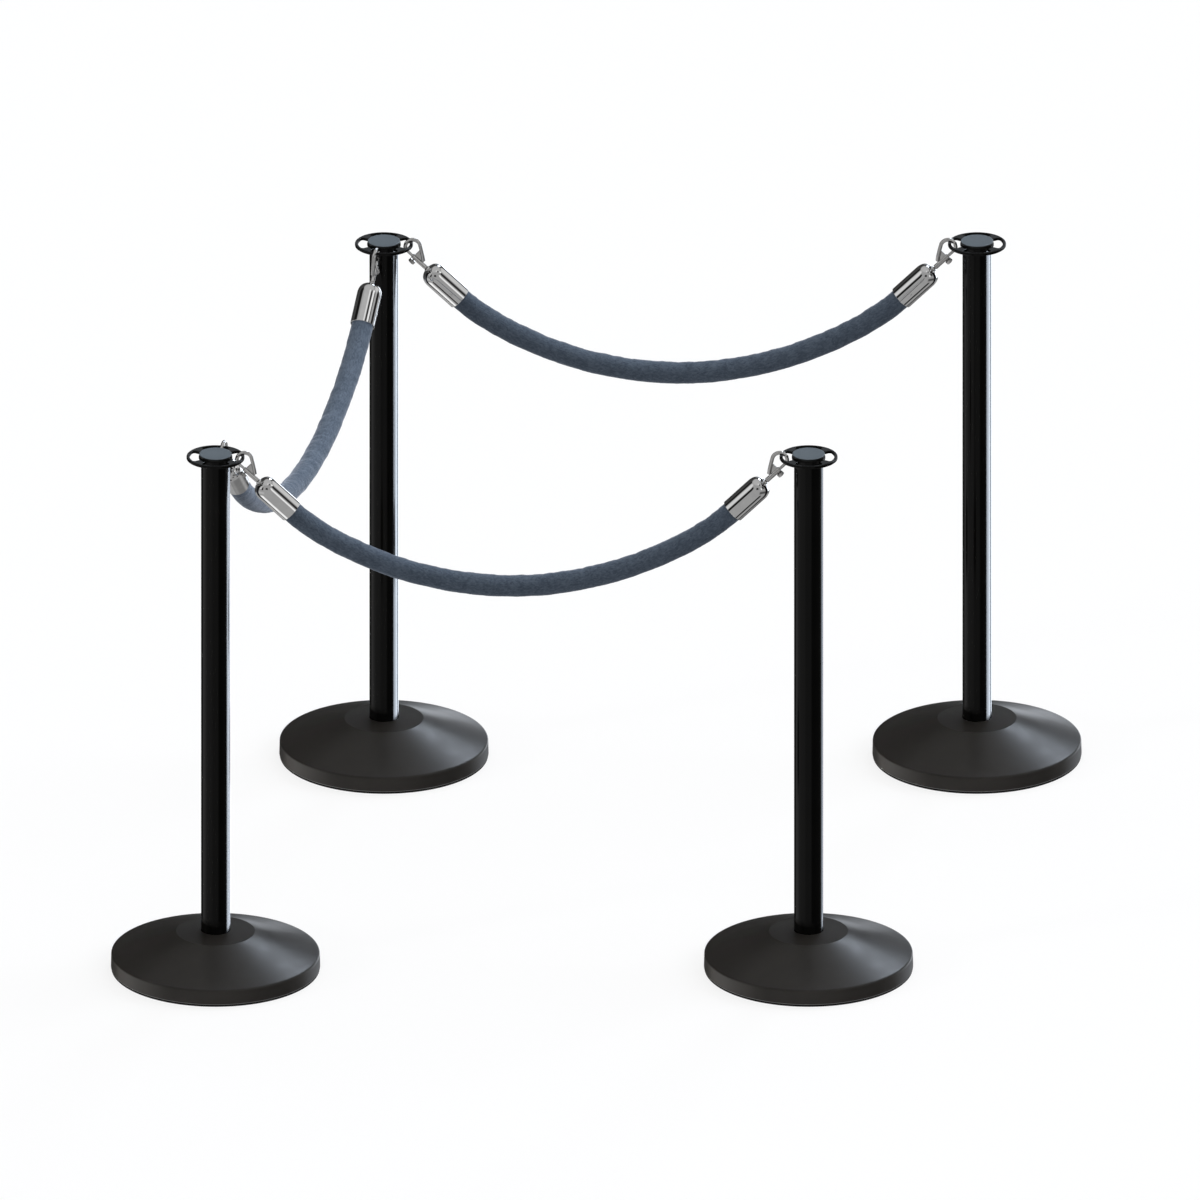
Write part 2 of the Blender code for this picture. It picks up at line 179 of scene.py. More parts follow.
def post_place(post):
    """The point on the floor under a post's axis."""
    low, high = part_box(f"{post}_post_tube")
    return Vector(((low.x + high.x) / 2, (low.y + high.y) / 2, 0))


def arc(centre, radius, start, end, parts):
    """Points round a centre, by angle in degrees from the second axis towards the first."""
    angles = [math.radians(start + (end - start) * i / parts) for i in range(parts + 1)]
    return [(centre[0] + radius * math.sin(a), centre[1] + radius * math.cos(a)) for a in angles]


def rounded(corners, parts=5):
    """An open outline with its corners rounded. Each corner is (x, y) or (x, y, radius)."""
    line = []
    for i, corner in enumerate(corners):
        here = Vector(corner[:2])
        radius = corner[2] if len(corner) > 2 else 0
        if not radius or i in (0, len(corners) - 1):
            line.append(here)
            continue
        back = (Vector(corners[i - 1][:2]) - here).normalized()
        on = (Vector(corners[i + 1][:2]) - here).normalized()
        half = math.acos(max(-1, min(1, back.dot(on)))) / 2
        reach = radius / math.tan(half)
        centre = here + (back + on).normalized() * (radius / math.sin(half))
        first = here + back * reach - centre
        last = here + on * reach - centre
        turn = first.angle_signed(last)
        for k in range(parts + 1):
            line.append(centre + Matrix.Rotation(-turn * k / parts, 2) @ first)
    return [tuple(point) for point in line]


def mesh_of(name, points, faces, sharp=35):
    mesh = bpy.data.meshes.new(name)
    mesh.from_pydata(points, [], faces)
    return tidied(mesh, sharp)


def tidied(mesh, sharp=35):
    """The mesh welded, with its faces pointing out, smooth except at sharp edges."""
    work = bmesh.new()
    work.from_mesh(mesh)
    bmesh.ops.remove_doubles(work, verts=work.verts, dist=1e-7)
    bmesh.ops.recalc_face_normals(work, faces=work.faces)
    work.to_mesh(mesh)
    work.free()
    mesh.shade_smooth()
    mesh.set_sharp_from_angle(angle=math.radians(sharp))
    return mesh


def flattened(mesh):
    """The mesh with its normals led by its large faces, so that flats and long walls stay straight
    right up to their rounded edges."""
    obj = helper(mesh.name, mesh)
    modifier = obj.modifiers.new("flats", "WEIGHTED_NORMAL")
    modifier.keep_sharp = True
    bpy.context.view_layer.update()
    graph = bpy.context.evaluated_depsgraph_get()
    flat = bpy.data.meshes.new_from_object(obj.evaluated_get(graph))
    bpy.data.objects.remove(obj)
    return flat


def lathe(name, profile, steps, closed=True, radius_at=None):
    """A profile of (radius, height) points turned about Z. An open profile starts and ends on the
    axis. radius_at(radius, height, angle) may change a point's radius, as for ribs."""
    points = []
    faces = []
    count = len(profile)
    for step in range(steps):
        a = 2 * math.pi * step / steps
        for radius, height in profile:
            r = radius_at(radius, height, a) if radius_at else radius
            points.append((r * math.cos(a), r * math.sin(a), height))
        following = (step + 1) % steps
        for k in range(count if closed else count - 1):
            n = (k + 1) % count
            corners = (step * count + k, step * count + n, following * count + n, following * count + k)
            faces.append(corners)
    return mesh_of(name, points, faces)


def rod_shape(name, radius, low, high):
    """A plain rod along Z, as a cutter."""
    outline = [(0, high), (radius, high), (radius, low), (0, low)]
    return lathe(name, outline, 32, closed=False)


def direction_at(line, i):
    """The line's direction at its point i, from the points on either side."""
    return (line[min(i + 1, len(line) - 1)] - line[max(i - 1, 0)]).normalized()


def tube_points(line, radii, sides, across):
    """Rings of points round a line in one plane. across is the plane's normal."""
    rings = []
    for i, point in enumerate(line):
        side = direction_at(line, i).cross(across).normalized()
        for k in range(sides):
            a = 2 * math.pi * k / sides
            rings.append(point + (side * math.cos(a) + across * math.sin(a)) * radii[i])
    return rings


def tube_faces(rings, sides):
    """The faces of a tube's rings, with a cap at each end."""
    faces = []
    for i in range(rings - 1):
        for k in range(sides):
            n = (k + 1) % sides
            faces.append((i * sides + k, i * sides + n, (i + 1) * sides + n, (i + 1) * sides + k))
    return [*faces, tuple(range(sides)), tuple(range((rings - 1) * sides, rings * sides))]


def helper(name, mesh):
    """An object that only helps to make a mesh. It is removed again."""
    obj = bpy.data.objects.new(name, mesh)
    bpy.context.scene.collection.objects.link(obj)
    return obj


def applied(obj, sharp=35):
    """The mesh of a helper after its modifiers. The helper goes."""
    bpy.context.view_layer.update()
    graph = bpy.context.evaluated_depsgraph_get()
    mesh = bpy.data.meshes.new_from_object(obj.evaluated_get(graph))
    bpy.data.objects.remove(obj)
    return tidied(mesh, sharp)


def combined(name, base, steps, sharp=35):
    """The base mesh after a Boolean for each (operation, mesh) in steps."""
    obj = helper(name, base)
    others = []
    for operation, mesh in steps:
        other = helper(f"{name}_{mesh.name}", mesh)
        other.hide_render = True
        others.append(other)
        modifier = obj.modifiers.new(operation.lower(), "BOOLEAN")
        modifier.operation = operation
        modifier.solver = "EXACT"
        modifier.object = other
    mesh = applied(obj, sharp)
    for other in others:
        bpy.data.objects.remove(other)
    return mesh


def joined(name, meshes):
    """The meshes as one, overlapping shells and all."""
    work = bmesh.new()
    for mesh in meshes:
        work.from_mesh(mesh)
    whole = bpy.data.meshes.new(name)
    work.to_mesh(whole)
    work.free()
    return whole


def plate(name, outlines, thickness, edge=0.0):
    """Flat outlines in the XY plane as a plate about z = 0, with its edges rounded."""
    curve = bpy.data.curves.new(name, "CURVE")
    curve.dimensions = "2D"
    curve.fill_mode = "BOTH"
    curve.extrude = thickness / 2 - edge
    curve.bevel_depth = edge
    curve.offset = -edge
    curve.bevel_resolution = 2
    for outline in outlines:
        spline = curve.splines.new("POLY")
        spline.points.add(len(outline) - 1)
        for target, (x, y) in zip(spline.points, outline):
            target.co = (x, y, 0, 1)
        spline.use_cyclic_u = True
    return applied(helper(name, curve))


def moved(mesh, matrix):
    mesh.transform(matrix)
    return mesh


# Materials

GRAIN_DEPTH = 0.2  # of a grain's width
# (two tones, roughness, level of reflection, grain in metres, strength of its relief)
COATINGS = {
    "floor_pad_rubber": ((0.006, 0.006, 0.006), (0.011, 0.011, 0.011), 0.75, 0.2, 0.0008, 0.5),
    "charcoal_satin_paint": (
        (0.0200, 0.0178, 0.0156), (0.0240, 0.0213, 0.0190), 0.33, 0.28, 0.0007, 0.12
    ),
    "black_gloss_paint": (
        (0.0013, 0.0013, 0.0011), (0.0020, 0.0019, 0.0017), 0.13, 0.17, 0.0016, 0.012
    ),
    # the top cap: its blue-grey tones are a painted reflection of the studio in its black top
    "cap_paint": ((0.092, 0.112, 0.130), (0.103, 0.124, 0.142), 0.34, 0.4, 0.0009, 0.08),
    "cotton_wadding": ((0.62, 0.59, 0.53), (0.78, 0.75, 0.69), 0.95, 0.1, 0.0012, 0.8),
}
# (two tones, roughness, grain in metres, strength of its relief, and the grey of the painted shade in
# inner corners, if any)
METALS = {
    "cast_iron": ((0.045, 0.043, 0.042), (0.075, 0.072, 0.070), 0.7, 0.0011, 0.7),
    "zinc_plated_steel": ((0.50, 0.50, 0.47), (0.60, 0.60, 0.58), 0.35, 0.0006, 0.2),
    "polished_chrome": ((0.78, 0.78, 0.78), (0.84, 0.84, 0.835), 0.042, 0.0012, 0.02, 0.05),
    # a darker copy of polished_chrome for the hooks and latches: painted shade standing for their darker
    # reflections
    "hook_chrome_shaded": ((0.62, 0.61, 0.60), (0.72, 0.715, 0.71), 0.055, 0.0012, 0.02, 0.03),
    "spring_steel": ((0.45, 0.45, 0.46), (0.55, 0.55, 0.56), 0.30, 0.0004, 0.1),
}
VELVET_DARK = (0.056, 0.074, 0.102)
VELVET_LIGHT = (0.108, 0.136, 0.178)
VELVET_PILE_SHADE = (0.038, 0.052, 0.074)  # painted shade between the hairs
VELVET_SHEEN = (0.72, 0.78, 0.90, 1.0)
RIM_EDGE_HIGHLIGHT = (0.0009, 0.0005, (0.22, 0.22, 0.215))  # a painted highlight along the cover's lower edge, where its rounding catches light: height, fade, colour
CAP_SIDE = (0.0011, 0.0007, (0.006, 0.006, 0.006))  # the top cap's side, black below the painted reflection on its top: depth, fade, colour


class Nodes:
    """A node tree with short ways to add and link nodes."""

    def __init__(self, tree):
        self.tree = tree
        tree.nodes.clear()

    def add(self, kind, values=None, **settings):
        node = self.tree.nodes.new(kind)
        for name, value in settings.items():
            setattr(node, name, value)
        for socket, value in (values or {}).items():
            if isinstance(value, bpy.types.NodeSocket):
                self.tree.links.new(value, node.inputs[socket])
            else:
                node.inputs[socket].default_value = value
        return node

    def maths(self, operation, *values):
        node = self.add("ShaderNodeMath", dict(enumerate(values)), operation=operation)
        return node.outputs[0]

    def ranged(self, value, low, high, to_low=0.0, to_high=1.0):
        limits = {"From Min": low, "From Max": high, "To Min": to_low, "To Max": to_high}
        values = {"Value": value, **limits}
        node = self.add("ShaderNodeMapRange", values, interpolation_type="SMOOTHSTEP")
        return node.outputs["Result"]

    def mixed(self, factor, first, second):
        node = self.add("ShaderNodeMix", data_type="RGBA")
        for socket, value in zip((0, 6, 7), (factor, first, second)):
            if isinstance(value, bpy.types.NodeSocket):
                self.tree.links.new(value, node.inputs[socket])
            else:
                node.inputs[socket].default_value = value if socket == 0 else (*value, 1)
        return node.outputs[2]

    def noise(self, where, scale, detail=3.0, roughness=0.55, distortion=0.0):
        values = {
            "Vector": where,
            "Scale": scale,
            "Detail": detail,
            "Roughness": roughness,
            "Distortion": distortion,
        }
        return self.add("ShaderNodeTexNoise", values).outputs["Fac"]

    def bump(self, height, strength, distance, normal=None):
        values = {"Height": height, "Strength": strength, "Distance": distance}
        if normal is not None:
            values["Normal"] = normal
        return self.add("ShaderNodeBump", values).outputs["Normal"]


def new_material(name):
    material = bpy.data.materials.new(name)
    material.use_nodes = True
    return material, Nodes(material.node_tree)


def finish_material(nodes, values):
    shader = nodes.add("ShaderNodeBsdfPrincipled", values)
    nodes.add("ShaderNodeOutputMaterial", {"Surface": shader.outputs[0]})


def object_points(nodes):
    return nodes.add("ShaderNodeTexCoord").outputs["Object"]


def coated_material(name, dark, light, roughness, level, grain, relief, painted_light_foot=None):
    """Paint, rubber or wadding: two near tones, a grain of its own size in metres, and uneven gloss.
    painted_light_foot is (height, fade, colour): below that height on the piece the colour is another,
    as painted light: a painted highlight along the cover's lower edge, and the top cap's black side
    under its top's painted reflection."""
    material, nodes = new_material(name)
    where = object_points(nodes)
    cloud = nodes.noise(where, scale=14.0, detail=4.0)
    fine = nodes.noise(where, scale=1 / grain, detail=2.0)
    colour = nodes.mixed(nodes.ranged(cloud, 0.35, 0.65), dark, light)
    if painted_light_foot:
        height, fade, painted_foot_colour = painted_light_foot
        here = nodes.add("ShaderNodeSeparateXYZ", {0: where}).outputs["Z"]
        # painted light: a different colour below the given height
        colour = nodes.mixed(nodes.ranged(here, height, height + fade), painted_foot_colour, colour)
    spread = 0.12
    dull = roughness * (1 + spread)
    values = {
        "Base Color": colour,
        "Roughness": nodes.ranged(cloud, 0.3, 0.7, roughness * (1 - spread), dull),
        "Specular IOR Level": level,
        "Normal": nodes.bump(fine, relief, grain * GRAIN_DEPTH),
    }
    finish_material(nodes, values)
    return material


def metal_material(name, dark, light, roughness, grain, relief, corner_shade=None):
    """Bare or plated metal, with faint handling marks in its gloss. grime is a dark grey painted into
    inner corners as painted shade."""
    material, nodes = new_material(name)
    where = object_points(nodes)
    cloud = nodes.noise(where, scale=60.0, detail=5.0, roughness=0.6, distortion=0.4)
    fine = nodes.noise(where, scale=1 / grain)
    colour = nodes.mixed(nodes.ranged(cloud, 0.3, 0.7), dark, light)
    if corner_shade:
        # painted shade: inner corners darkened towards that grey
        corners = nodes.add("ShaderNodeNewGeometry").outputs["Pointiness"]
        colour = nodes.mixed(nodes.ranged(corners, 0.45, 0.497), (corner_shade,) * 3, colour)
    spread = 0.25
    dull = roughness * (1 + spread)
    values = {
        "Base Color": colour,
        "Metallic": 1.0,
        "Roughness": nodes.ranged(cloud, 0.35, 0.75, roughness * (1 - spread), dull),
        "Normal": nodes.bump(fine, relief, grain * GRAIN_DEPTH),
    }
    finish_material(nodes, values)
    return material


def velvet_material():
    """Crushed grey velvet. Its patterns are laid out along the rope by the point attribute
    straight, which gives each point's place on the rope as if it were straight, in metres."""
    material, nodes = new_material("grey_velvet")
    where = nodes.add("ShaderNodeAttribute", attribute_name="straight").outputs["Vector"]
    bend = nodes.add("ShaderNodeTexNoise", {"Vector": where, "Scale": 70.0, "Detail": 2.0})
    curl = {0: bend.outputs["Color"], "Scale": 0.012}
    shift = nodes.add("ShaderNodeVectorMath", curl, operation="SCALE")
    curled = nodes.add("ShaderNodeVectorMath", {0: where, 1: shift.outputs[0]}, operation="ADD")
    lean = nodes.add(
        "ShaderNodeMapping",
        {"Vector": curled.outputs[0], "Rotation": (0.5, 0.35, 0.6), "Scale": (0.36, 1.0, 1.0)},
    )
    streaks = nodes.noise(lean.outputs[0], scale=420.0, roughness=0.6, distortion=0.3)
    patches = nodes.noise(curled.outputs[0], scale=60.0, roughness=0.6, distortion=0.5)
    pile = nodes.noise(where, scale=1500.0, detail=2.0)
    streak_share = 0.7
    streaked = nodes.maths("MULTIPLY", streaks, streak_share)
    patched = nodes.maths("MULTIPLY", patches, 1 - streak_share)
    tone = nodes.ranged(nodes.maths("ADD", streaked, patched), 0.36, 0.66)
    colour = nodes.mixed(tone, VELVET_DARK, VELVET_LIGHT)
    # painted shade: fine random specks of darker colour between the hairs
    pile_shade_speckles = nodes.ranged(pile, 0.3, 0.7, 0.0, 0.28)
    streak_relief = nodes.bump(streaks, strength=0.55, distance=0.0012)
    values = {
        "Base Color": nodes.mixed(pile_shade_speckles, colour, VELVET_PILE_SHADE),
        "Roughness": 0.9,
        "Specular IOR Level": 0.2,
        "Sheen Weight": 0.55,
        "Sheen Roughness": 0.35,
        "Sheen Tint": VELVET_SHEEN,
        "Normal": nodes.bump(pile, strength=0.5, distance=0.0004, normal=streak_relief),
    }
    finish_material(nodes, values)
    return material


def make_materials():
    cover_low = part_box(f"{POST_NAMES[0]}_base_cover")[0].z
    cap_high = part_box(f"{POST_NAMES[0]}_top_cap")[1].z
    # painted light: a painted highlight along the cover's lower edge, and a black side under the top
    # cap's painted reflection
    painted_light_feet = {
        "charcoal_satin_paint": (cover_low + RIM_EDGE_HIGHLIGHT[0], *RIM_EDGE_HIGHLIGHT[1:]),
        "cap_paint": (cap_high - CAP_SIDE[0], *CAP_SIDE[1:]),
    }
    made = {"grey_velvet": velvet_material()}
    for name, settings in COATINGS.items():
        made[name] = coated_material(name, *settings, painted_light_foot=painted_light_feet.get(name))
    for name, settings in METALS.items():
        made[name] = metal_material(name, *settings)
    return made


# Pieces


def piece(name, mesh, slot, body, replaces, matrix=None, shaded_copy=None):
    """One shown piece: it rides on a body and stands for a CAD node."""
    if not mesh.materials:
        mesh.materials.append(materials[shaded_copy or slot])
    obj = bpy.data.objects.new(name, mesh)
    if matrix is not None:
        obj.matrix_world = matrix
    bpy.context.scene.collection.objects.link(obj)
    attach(obj, body)
    if replaces:
        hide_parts(replaces)
    return obj


def pad_mesh(post):
    low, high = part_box(f"{post}_floor_pad")
    outer = (high.x - low.x) / 2
    middle = (low.z + high.z) / 2
    edge = 0.0009
    outline = rounded(
        [
            (PAD_HOLE, middle),
            (PAD_HOLE, high.z, edge),
            (outer, high.z, edge),
            (outer, low.z, edge),
            (PAD_HOLE, low.z, edge),
            (PAD_HOLE, middle),
        ]
    )
    return lathe("floor_pad", outline[:-1], 128)


def cover_mesh(post):
    """The domed cover: a shallow top, a crease, a cone and an upright rim, as a thin shell."""
    low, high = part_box(f"{post}_base_cover")
    outer = (high.x - low.x) / 2
    rim_round = 0.004
    rim_inner_round = 0.0024
    rim_lean = 0.0006
    crease_round = 0.003
    hole_edge = 0.0006
    rim_edge = 0.0009
    shoulder = CREASE_HEIGHT - (outer - rim_round - CREASE_RADIUS) * math.tan(COVER_SLOPE)
    corner = shoulder - rim_round * 0.62
    inner_corner = corner - COVER_WALL * 0.4
    tube_low, tube_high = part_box(f"{post}_post_tube")
    hole = (tube_high.x - tube_low.x) / 2 + GAP * 2
    outline = rounded(
        [
            (hole, high.z - COVER_WALL / 2),
            (hole, high.z, hole_edge),
            (CREASE_RADIUS, CREASE_HEIGHT, crease_round),
            (outer - rim_lean, corner, rim_round),
            (outer, low.z, rim_edge),
            (outer - COVER_WALL, low.z, rim_edge),
            (outer - COVER_WALL, inner_corner, rim_inner_round),
            (CREASE_RADIUS, CREASE_HEIGHT - COVER_WALL, crease_round),
            (hole, high.z - COVER_WALL, hole_edge),
            (hole, high.z - COVER_WALL / 2),
        ],
        parts=7,
    )
    return lathe("base_cover", outline[:-1], 192)


def weight_mesh(post):
    low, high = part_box(f"{post}_base_weight")
    outer = (high.x - low.x) / 2
    counterbore = ROD_HEAD_RADIUS + GAP * 2
    counterbore_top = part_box(f"{post}_tie_rod")[0].z + ROD_HEAD_HEIGHT + GAP
    middle = (counterbore_top + high.z) / 2
    bore_edge = 0.0006
    boss_edge = 0.0015
    boss_foot = 0.004
    cast_edge = 0.002
    cut_edge = 0.0005
    outline = rounded(
        [
            (ROD_BORE, middle),
            (ROD_BORE, high.z, bore_edge),
            (BOSS_RADIUS, high.z, boss_edge),
            (BOSS_RADIUS, WEIGHT_TOP, boss_foot),
            (outer, WEIGHT_TOP, cast_edge),
            (outer, low.z, cast_edge),
            (counterbore, low.z, cut_edge),
            (counterbore, counterbore_top, cut_edge),
            (ROD_BORE, counterbore_top, cut_edge),
            (ROD_BORE, middle),
        ]
    )
    return lathe("base_weight", outline[:-1], 96)


def tube_mesh(post):
    low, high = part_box(f"{post}_post_tube")
    outer = (high.x - low.x) / 2
    inner = outer - TUBE_WALL
    middle = (low.z + high.z) / 2
    edge = 0.0004
    outline = rounded(
        [
            (inner, middle),
            (inner, high.z, edge),
            (outer, high.z, edge),
            (outer, low.z, edge),
            (inner, low.z, edge),
            (inner, middle),
        ],
        parts=3,
    )
    return lathe("post_tube", outline[:-1], 96)


def rod_mesh(post):
    """The tie rod, with a six-sided head and a thread at its top end."""
    low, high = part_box(f"{post}_tie_rod")
    pitch = 0.0015
    turns = 20
    thread_depth = 0.0007
    lead_in = 0.0008
    run_out = 0.001
    top_bevel = 0.0006
    end_bevel = 0.0004
    head_top = low.z + ROD_HEAD_HEIGHT
    outline = [(0, high.z), (ROD_RADIUS - lead_in, high.z)]
    for i in range(turns):
        crest = high.z - pitch * (i + 0.5)
        outline.append((ROD_RADIUS, crest))
        outline.append((ROD_RADIUS - thread_depth, crest - pitch / 2))
    outline += [(ROD_RADIUS, high.z - pitch * turns - run_out), (ROD_RADIUS, head_top)]
    outline += [(ROD_HEAD_RADIUS * 0.94, head_top), (ROD_HEAD_RADIUS, head_top - top_bevel)]
    outline += [(ROD_HEAD_RADIUS, low.z + end_bevel), (ROD_HEAD_RADIUS * 0.96, low.z), (0, low.z)]
    head_from = ROD_HEAD_RADIUS * 0.9

    def six_sided(radius, height, angle):
        if height > head_top + 1e-6 or radius < head_from:
            return radius
        sixth = math.pi / 3
        within = angle % sixth - sixth / 2
        return min(radius, ROD_HEAD_RADIUS * math.cos(sixth / 2) / math.cos(within))

    return lathe("tie_rod", outline, 48, closed=False, radius_at=six_sided)


def slot_outline(middle):
    """One slot of the ring, between two arcs and two radial ends, with round corners."""
    corner_steps = 5
    side_steps = 14
    line = []
    for radius, towards in ((SLOT_OUTER, -1), (SLOT_INNER, 1)):
        centre_radius = radius + towards * SLOT_CORNER
        inset = math.asin(SLOT_CORNER / centre_radius)
        reach = SLOT_HALF_ANGLE - inset
        side = []
        for sign in (-1, 1):
            a = sign * reach
            centre = Vector((centre_radius * math.cos(a), centre_radius * math.sin(a)))
            for k in range(corner_steps + 1):
                turn = math.pi / 2 * k / corner_steps
                out = a + sign * turn if towards < 0 else a + math.pi - sign * turn
                side.append(centre + SLOT_CORNER * Vector((math.cos(out), math.sin(out))))
            if sign < 0:
                side.reverse()
                for k in range(1, side_steps):
                    b = -reach + 2 * reach * k / side_steps
                    side.append(Vector((radius * math.cos(b), radius * math.sin(b))))
        line += side if towards < 0 else side[::-1]
    turned = Matrix.Rotation(middle, 2)
    return [tuple(turned @ point) for point in line]


def ring_mesh(post):
    """The ring plate with its slots and rounded edges, on the hub that plugs the tube."""
    low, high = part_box(f"{post}_ring_head")
    outer = (high.x - low.x) / 2
    steps = 128
    turns = [2 * math.pi * k / steps for k in range(steps)]
    outlines = [[(outer * math.cos(turn), outer * math.sin(turn)) for turn in turns]]
    for slot in range(SLOTS):
        outlines.append(slot_outline(2 * math.pi * slot / SLOTS))
    disc = plate("ring_plate", outlines, RING_THICKNESS, edge=0.0012)
    disc = moved(disc, Matrix.Translation(UP * (high.z - RING_THICKNESS / 2)))
    hub_top = high.z - RING_THICKNESS / 2
    outline = rounded(
        [(0, hub_top), (HUB_RADIUS, hub_top), (HUB_RADIUS, low.z, 0.001), (0, low.z)], parts=4
    )
    hub = lathe("hub", outline, 96, closed=False)
    bore = rod_shape("bore", ROD_BORE, low.z - CUT_PAST, high.z + CUT_PAST)
    return combined("ring_head", disc, [("UNION", hub), ("DIFFERENCE", bore)])


def top_cap_mesh(post):
    low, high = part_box(f"{post}_top_cap")
    outer = (high.x - low.x) / 2
    under = high.z - TOP_CAP_HEIGHT
    top_edge = 0.0011
    under_edge = 0.0003
    peg_edge = 0.0005
    outline = rounded(
        [
            (0, high.z),
            (outer, high.z, top_edge),
            (outer, under, under_edge),
            (TOP_CAP_PEG, under, under_edge),
            (TOP_CAP_PEG, low.z, peg_edge),
            (0, low.z),
        ],
        parts=6,
    )
    return lathe("top_cap", outline, 96, closed=False)


def build_posts():
    first = POST_NAMES[0]
    meshes = {
        "floor_pad": (pad_mesh(first), "floor_pad_rubber"),
        "base_weight": (weight_mesh(first), "cast_iron"),
        "base_cover": (cover_mesh(first), "charcoal_satin_paint"),
        "post_tube": (tube_mesh(first), "black_gloss_paint"),
        "tie_rod": (rod_mesh(first), "zinc_plated_steel"),
        "ring_head": (ring_mesh(first), "black_gloss_paint"),
        "top_cap": (top_cap_mesh(first), "cap_paint"),
    }
    meshes = {name: (flattened(mesh), slot) for name, (mesh, slot) in meshes.items()}
    for post in POST_NAMES:
        place = Matrix.Translation(post_place(post))
        for name, (mesh, slot) in meshes.items():
            node = f"{post}_{name}"
            piece(f"{node}_piece", mesh, slot, "posts", node, place)


# Rope ends


def end_cap_mesh():
    """A bullet-shaped shell: a short nose with a hole, a dome, and a skirt with a rounded lip."""
    dome = []
    for degrees in range(15, 91, 5):
        out = math.sin(math.radians(degrees)) ** DOME_POWER
        drop = 1 - max(0, math.cos(math.radians(degrees))) ** DOME_POWER
        dome.append((CAP_RADIUS * out, -NOSE_LENGTH - (DOME_END - NOSE_LENGTH) * drop))
    inner_end = DOME_END + 0.001
    inner_dome = []
    for degrees in range(90, 20, -8):
        a = math.radians(degrees)
        inner_dome.append(
            (CAP_BORE * math.sin(a), -NOSE_DEPTH - (inner_end - NOSE_DEPTH) * (1 - math.cos(a)))
        )
    lip = 0.0006
    inside_hole = -0.002
    hole_edge = 0.0005
    nose_edge = 0.0008
    nose_foot = 0.0004
    skirt_low = -CAP_LENGTH + 0.003
    corners = [
        (NOSE_HOLE, inside_hole),
        (NOSE_HOLE, 0, hole_edge),
        (NOSE_RADIUS, 0, nose_edge),
        (NOSE_RADIUS, -NOSE_LENGTH, nose_foot),
        *dome,
        (CAP_RADIUS, skirt_low),
        (CAP_RADIUS, -CAP_LENGTH, lip),
        (CAP_BORE, -CAP_LENGTH, lip),
        *inner_dome,
        (RIVET_RADIUS, -NOSE_DEPTH),
        (NOSE_HOLE, -NOSE_DEPTH, nose_foot),
        (NOSE_HOLE, inside_hole),
    ]
    return lathe("end_cap", rounded(corners)[:-1], 96)


def hook_wire():
    """The rib down the web's outer edge and the bent wire of the eye, as a tube with a round tip."""
    eye = [Vector((x, 0, z)) for x, z in arc(EYE_CENTRE, EYE_RADIUS, EYE_FROM, EYE_TO, 44)]
    ribs = [Vector((x, 0, z)) for x, z in SPINE]
    line = []
    steps = 8
    for a, b in zip(ribs, [*ribs[1:], eye[0]]):
        line += [a.lerp(b, k / steps) for k in range(steps)]
    line += eye
    tip = 0.0022
    thinnest = 0.0003
    length = sum((b - a).length for a, b in zip(line, line[1:]))
    along = 0
    radii = []
    for i, point in enumerate(line):
        if i:
            along += (point - line[i - 1]).length
        swell = math.sqrt(max(0.0, 1 - max(0.0, 1 - (length - along) / tip) ** 2))
        radii.append(max(WIRE_RADIUS * swell, thinnest))
    sides = 24
    rings = tube_points(line, radii, sides, Vector((0, 1, 0)))
    return mesh_of("wire", rings, tube_faces(len(line), sides))


def hook_mesh():
    """Shank, barrel, web and eye melted into one casting, then bored and slit for the latch."""
    stand_up = Matrix.Rotation(math.radians(90), 4, "X")
    shoulder = 0.0008
    edge = 0.0005
    muzzle_edge = 0.0006
    shank_foot = 0.0002
    rivet_edge = 0.0008
    barrel_outline = rounded(
        [
            (0, BARREL_END),
            (BARREL_RADIUS, BARREL_END, muzzle_edge),
            (BARREL_RADIUS, BARREL_START + shoulder, edge),
            (SHANK_RADIUS, BARREL_START, shank_foot),
            (SHANK_RADIUS, RIVET_TOP),
            (RIVET_RADIUS, RIVET_TOP, edge),
            (RIVET_RADIUS, RIVET_BOTTOM, rivet_edge),
            (0, RIVET_BOTTOM),
        ]
    )
    barrel = lathe("barrel", barrel_outline, 40, closed=False)
    web = moved(plate("web", [WEB], WEB_HALF * 2, edge=0.0004), stand_up)
    casting = helper("casting", joined("casting", [barrel, web, hook_wire()]))
    remesh = casting.modifiers.new("melt", "REMESH")
    remesh.mode = "VOXEL"
    remesh.voxel_size = 0.00042
    smooth = casting.modifiers.new("polish", "SMOOTH")
    smooth.factor = 0.5
    smooth.iterations = 7
    thin = casting.modifiers.new("thin", "DECIMATE")
    thin.ratio = 0.45
    body = applied(casting, sharp=60)
    bore = rod_shape("bore", BORE_RADIUS, BORE_START, BARREL_END + CUT_PAST * 2)
    half = SLIT_WIDTH / 2
    slit_middle = (SLIT_START + SLIT_END) / 2
    reach = (SLIT_END - SLIT_START) / 2 - half
    round_ends = arc((0, reach), half, -90, 90, 10) + arc((0, -reach), half, 90, 270, 10)
    slit = plate("slit", [round_ends], BARREL_RADIUS * 2)
    face_post = Matrix.Rotation(math.radians(90), 4, "Z") @ stand_up
    slit = moved(slit, Matrix.Translation((-BARREL_RADIUS, 0, slit_middle)) @ face_post)
    return combined("hook", body, [("DIFFERENCE", bore), ("DIFFERENCE", slit)], sharp=45)


